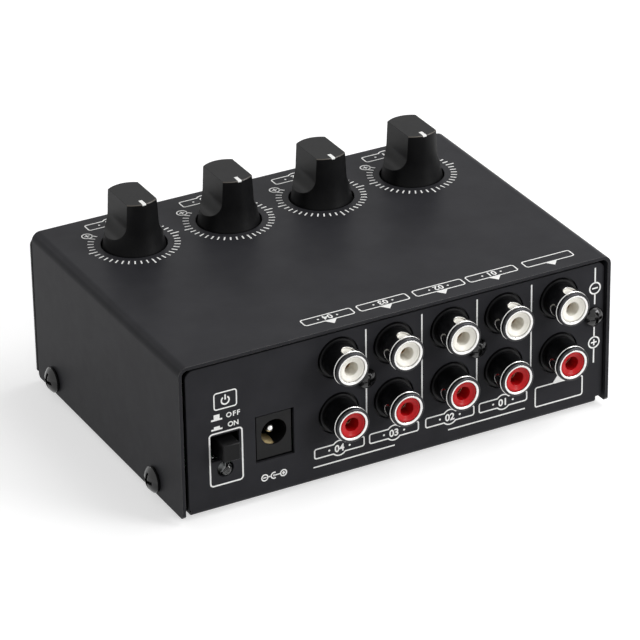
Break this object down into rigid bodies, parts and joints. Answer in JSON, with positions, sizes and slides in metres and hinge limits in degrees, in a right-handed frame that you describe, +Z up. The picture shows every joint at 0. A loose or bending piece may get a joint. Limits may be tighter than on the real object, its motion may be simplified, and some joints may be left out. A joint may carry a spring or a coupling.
{
  "type": "audio distribution amplifier",
  "caption": "Small table-top stereo line splitter in a folded steel case, with a level dial for each output on top and phono sockets, a power inlet and a push switch at the rear.",
  "frame": {"origin": "middle of the whole object's footprint, on the surface its feet stand on", "axes": "+X to the right as the user sees it from the dial side, along the longest side; +Y towards the socket side; +Z up"},
  "size_m": [0.1142, 0.083, 0.052],
  "materials": {
    "case_paint": "fine satin powder coat, dark grey",
    "black_screw": "black plated steel, semi-gloss",
    "foot_rubber": "matt black rubber",
    "knob_plastic": "satin black moulded plastic",
    "pointer_white": "white inlay",
    "turned_steel": "turned, bright",
    "pot_case": "stamped and plated",
    "tinned_lead": "tinned",
    "board_laminate": "green glass-fibre board with solder mask",
    "spacer_nylon": "natural nylon",
    "black_plastic": "black moulded",
    "gold_pin": "gold plated",
    "ribbon_vinyl": "grey vinyl insulation",
    "jack_black": "black moulded, satin",
    "jack_plate": "nickel plated",
    "jack_white": "white moulded",
    "jack_red": "red moulded",
    "button_black": "black moulded",
    "spring_steel": "drawn spring wire",
    "lens_clear": "clear epoxy",
    "capacitor_sleeve": "dark printed sleeve",
    "tab_metal": "plated tab",
    "diode_body": "black moulded"
  },
  "bodies": {
    "case": {"cover": "case_paint", "chassis": "case_paint", "cover_screws": "black_screw", "rubber_feet": "foot_rubber", "pot_cases": "pot_case", "pot_bushings": "turned_steel", "pot_terminals": "tinned_lead", "control_board": "board_laminate", "control_pillars": "spacer_nylon", "header_bases": "black_plastic", "header_pins": "gold_pin", "ribbon_plugs": "black_plastic", "ribbon_cable": "ribbon_vinyl", "main_board": "board_laminate", "board_standoffs": "turned_steel", "board_screws": "turned_steel", "jack_block_34": "jack_black", "jack_block_12": "jack_black", "jack_block_in": "jack_black", "jack_sleeves": "jack_plate", "jack_inserts_white": "jack_white", "jack_inserts_red": "jack_red", "jack_contacts": "gold_pin", "jack_terminals": "tinned_lead", "panel_screws": "black_screw", "inlet_housing": "black_plastic", "inlet_contact": "jack_plate", "inlet_spring": "gold_pin", "inlet_terminals": "tinned_lead", "switch_housing": "black_plastic", "switch_spring": "spring_steel", "switch_terminals": "tinned_lead", "light_lens": "lens_clear", "light_leads": "tinned_lead", "filter_capacitors": "capacitor_sleeve", "coupling_capacitors": "capacitor_sleeve", "capacitor_leads": "tinned_lead", "amplifier_chips": "black_plastic", "chip_leads": "tinned_lead", "chip_resistors": "black_plastic", "voltage_regulator": "black_plastic", "regulator_plate": "tab_metal", "regulator_leads": "tinned_lead", "protection_diode": "diode_body"},
    "dial_1": {"knob_1": "knob_plastic", "knob_pointer_1": "pointer_white", "pot_shaft_1": "turned_steel"},
    "dial_2": {"knob_2": "knob_plastic", "knob_pointer_2": "pointer_white", "pot_shaft_2": "turned_steel"},
    "dial_3": {"knob_3": "knob_plastic", "knob_pointer_3": "pointer_white", "pot_shaft_3": "turned_steel"},
    "dial_4": {"knob_4": "knob_plastic", "knob_pointer_4": "pointer_white", "pot_shaft_4": "turned_steel"},
    "button": {"power_button": "button_black", "switch_plunger": "button_black"}
  },
  "joints": [
    {"name": "dial_1_turn", "type": "hinge", "parent": "case", "child": "dial_1", "pos_m": [-0.0366, -0.0238, 0.0382], "axis": [0, 0, 1], "range_deg": [-140, 140]},
    {"name": "dial_2_turn", "type": "hinge", "parent": "case", "child": "dial_2", "pos_m": [-0.0122, -0.0238, 0.0382], "axis": [0, 0, 1], "range_deg": [-140, 140]},
    {"name": "dial_3_turn", "type": "hinge", "parent": "case", "child": "dial_3", "pos_m": [0.0122, -0.0238, 0.0382], "axis": [0, 0, 1], "range_deg": [-140, 140]},
    {"name": "dial_4_turn", "type": "hinge", "parent": "case", "child": "dial_4", "pos_m": [0.0366, -0.0238, 0.0382], "axis": [0, 0, 1], "range_deg": [-140, 140]},
    {"name": "button_press", "type": "slide", "parent": "case", "child": "button", "axis": [0, -1, 0], "range_m": [0, 0.0022], "stiffness_N_per_m": 400, "springref_m": -0.003, "deforming": ["switch_spring"]}
  ]
}
